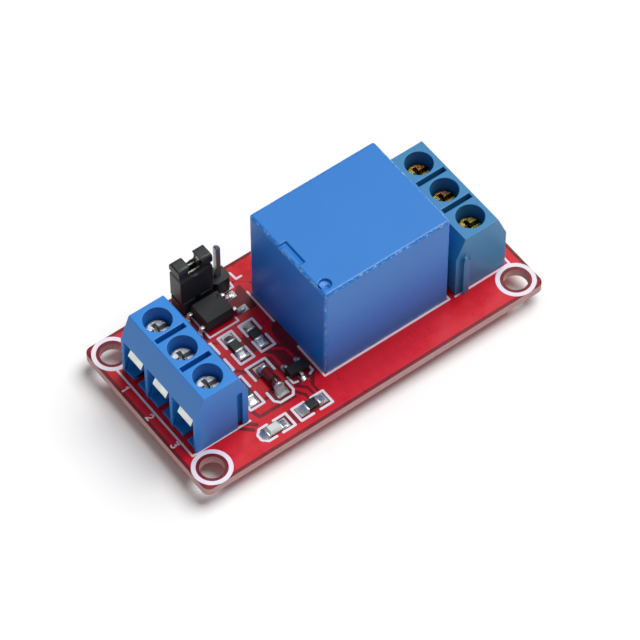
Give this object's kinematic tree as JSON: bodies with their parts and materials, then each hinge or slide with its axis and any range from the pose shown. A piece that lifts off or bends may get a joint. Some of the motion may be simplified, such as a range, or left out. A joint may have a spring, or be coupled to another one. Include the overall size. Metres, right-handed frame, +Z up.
{
  "type": "relay module board",
  "caption": "Rectangular relay board with a box relay in the middle, a screw terminal block at each end, a jumper on a pin header, and small surface-mounted parts.",
  "frame": {"origin": "centre of the four mounting holes, on the underside of the board", "axes": "+X along the board from the control terminal block to the switched terminal block, +Y across the board towards the pin header, +Z up out of the component side"},
  "size_m": [0.0512, 0.0256, 0.0188],
  "materials": {
    "solder_mask": "glossy red solder mask over glass-fibre laminate",
    "solder": "bright solder, rounded and slightly grainy",
    "block_plastic": "moulded blue plastic, semi-gloss",
    "clamp_metal": "tin-plated brass, satin",
    "guard_metal": "zinc-plated sheet steel",
    "screw_zinc": "clear zinc-plated steel",
    "screw_yellow": "yellow zinc-plated steel",
    "relay_plastic": "moulded blue plastic, satin",
    "black_plastic": "moulded black plastic",
    "relay_iron": "plated soft iron",
    "bobbin_plastic": "natural nylon",
    "copper_wire": "enamelled copper wire",
    "terminal_metal": "tinned copper alloy",
    "spring_copper": "phosphor bronze strip",
    "pin_metal": "tin-plated square pin",
    "jumper_metal": "thin brass strip",
    "chip_plastic": "epoxy mould compound",
    "lead_metal": "tinned lead frame",
    "diode_glass": "reddish glass",
    "led_body": "pale carrier with a clear lens",
    "resistor_body": "dark coated ceramic"
  },
  "bodies": {
    "module": {"board": "solder_mask", "solder_joints": "solder", "smd_solder": "solder", "input_housing": "block_plastic", "input_clamp_1": "clamp_metal", "input_clamp_2": "clamp_metal", "input_clamp_3": "clamp_metal", "output_housing": "block_plastic", "output_clamp_1": "clamp_metal", "output_clamp_2": "clamp_metal", "output_clamp_3": "clamp_metal", "relay_cover": "relay_plastic", "relay_base": "black_plastic", "relay_yoke": "relay_iron", "relay_core": "relay_iron", "relay_bobbin": "bobbin_plastic", "relay_coil": "copper_wire", "relay_coil_pins": "terminal_metal", "relay_common_terminal": "terminal_metal", "relay_nc_terminal": "terminal_metal", "relay_no_terminal": "terminal_metal", "header_base": "black_plastic", "header_pins": "pin_metal", "optocoupler_body": "chip_plastic", "optocoupler_leads": "lead_metal", "transistor_body": "chip_plastic", "transistor_leads": "lead_metal", "diode_glass": "diode_glass", "diode_caps": "lead_metal", "power_led": "led_body", "power_led_ends": "lead_metal", "resistor_1": "resistor_body", "resistor_2": "resistor_body", "resistor_3": "resistor_body", "resistor_4": "resistor_body", "resistor_5": "resistor_body", "resistor_ends": "lead_metal"},
    "input_guard_body_1": {"input_guard_1": "guard_metal"},
    "input_screw_body_1": {"input_screw_1": "screw_zinc"},
    "input_guard_body_2": {"input_guard_2": "guard_metal"},
    "input_screw_body_2": {"input_screw_2": "screw_zinc"},
    "input_guard_body_3": {"input_guard_3": "guard_metal"},
    "input_screw_body_3": {"input_screw_3": "screw_zinc"},
    "output_guard_body_1": {"output_guard_1": "guard_metal"},
    "output_screw_body_1": {"output_screw_1": "screw_yellow"},
    "output_guard_body_2": {"output_guard_2": "guard_metal"},
    "output_screw_body_2": {"output_screw_2": "screw_yellow"},
    "output_guard_body_3": {"output_guard_3": "guard_metal"},
    "output_screw_body_3": {"output_screw_3": "screw_yellow"},
    "armature": {"relay_armature": "relay_iron", "relay_contact_spring": "spring_copper"},
    "jumper": {"jumper_cap": "black_plastic", "jumper_contact": "jumper_metal"}
  },
  "joints": [
    {"name": "input_guard_slide_1", "type": "slide", "parent": "module", "child": "input_guard_body_1", "axis": [0, 0, 1], "range_m": [0, 0.0018]},
    {"name": "input_screw_turn_1", "type": "hinge", "parent": "input_guard_body_1", "child": "input_screw_body_1", "pos_m": [-0.0196, -0.00508, 0.0065], "axis": [0, 0, 1], "range_deg": [0, 1440]},
    {"name": "input_guard_slide_2", "type": "slide", "parent": "module", "child": "input_guard_body_2", "axis": [0, 0, 1], "range_m": [0, 0.0018]},
    {"name": "input_screw_turn_2", "type": "hinge", "parent": "input_guard_body_2", "child": "input_screw_body_2", "pos_m": [-0.0196, 0, 0.0065], "axis": [0, 0, 1], "range_deg": [0, 1440]},
    {"name": "input_guard_slide_3", "type": "slide", "parent": "module", "child": "input_guard_body_3", "axis": [0, 0, 1], "range_m": [0, 0.0018]},
    {"name": "input_screw_turn_3", "type": "hinge", "parent": "input_guard_body_3", "child": "input_screw_body_3", "pos_m": [-0.0196, 0.00508, 0.0065], "axis": [0, 0, 1], "range_deg": [0, 1440]},
    {"name": "output_guard_slide_1", "type": "slide", "parent": "module", "child": "output_guard_body_1", "axis": [0, 0, 1], "range_m": [0, 0.0018]},
    {"name": "output_screw_turn_1", "type": "hinge", "parent": "output_guard_body_1", "child": "output_screw_body_1", "pos_m": [0.0196, -0.00508, 0.0065], "axis": [0, 0, 1], "range_deg": [0, 1440]},
    {"name": "output_guard_slide_2", "type": "slide", "parent": "module", "child": "output_guard_body_2", "axis": [0, 0, 1], "range_m": [0, 0.0018]},
    {"name": "output_screw_turn_2", "type": "hinge", "parent": "output_guard_body_2", "child": "output_screw_body_2", "pos_m": [0.0196, 0, 0.0065], "axis": [0, 0, 1], "range_deg": [0, 1440]},
    {"name": "output_guard_slide_3", "type": "slide", "parent": "module", "child": "output_guard_body_3", "axis": [0, 0, 1], "range_m": [0, 0.0018]},
    {"name": "output_screw_turn_3", "type": "hinge", "parent": "output_guard_body_3", "child": "output_screw_body_3", "pos_m": [0.0196, 0.00508, 0.0065], "axis": [0, 0, 1], "range_deg": [0, 1440]},
    {"name": "armature_hinge", "type": "hinge", "parent": "module", "child": "armature", "pos_m": [-0.00048, 0.00009, 0.01245], "axis": [0, 1, 0], "range_deg": [0, 3], "stiffness_Nm_per_rad": 0.02, "springref_deg": -3.44},
    {"name": "jumper_pull", "type": "slide", "parent": "module", "child": "jumper", "axis": [0, 0, 1], "range_m": [0, 0.0059]}
  ],
  "couplings": [
    {"joint": "input_screw_turn_1", "follows": "input_guard_slide_1", "rad_per_m": 13963},
    {"joint": "input_screw_turn_2", "follows": "input_guard_slide_2", "rad_per_m": 13963},
    {"joint": "input_screw_turn_3", "follows": "input_guard_slide_3", "rad_per_m": 13963},
    {"joint": "output_screw_turn_1", "follows": "output_guard_slide_1", "rad_per_m": 13963},
    {"joint": "output_screw_turn_2", "follows": "output_guard_slide_2", "rad_per_m": 13963},
    {"joint": "output_screw_turn_3", "follows": "output_guard_slide_3", "rad_per_m": 13963}
  ]
}
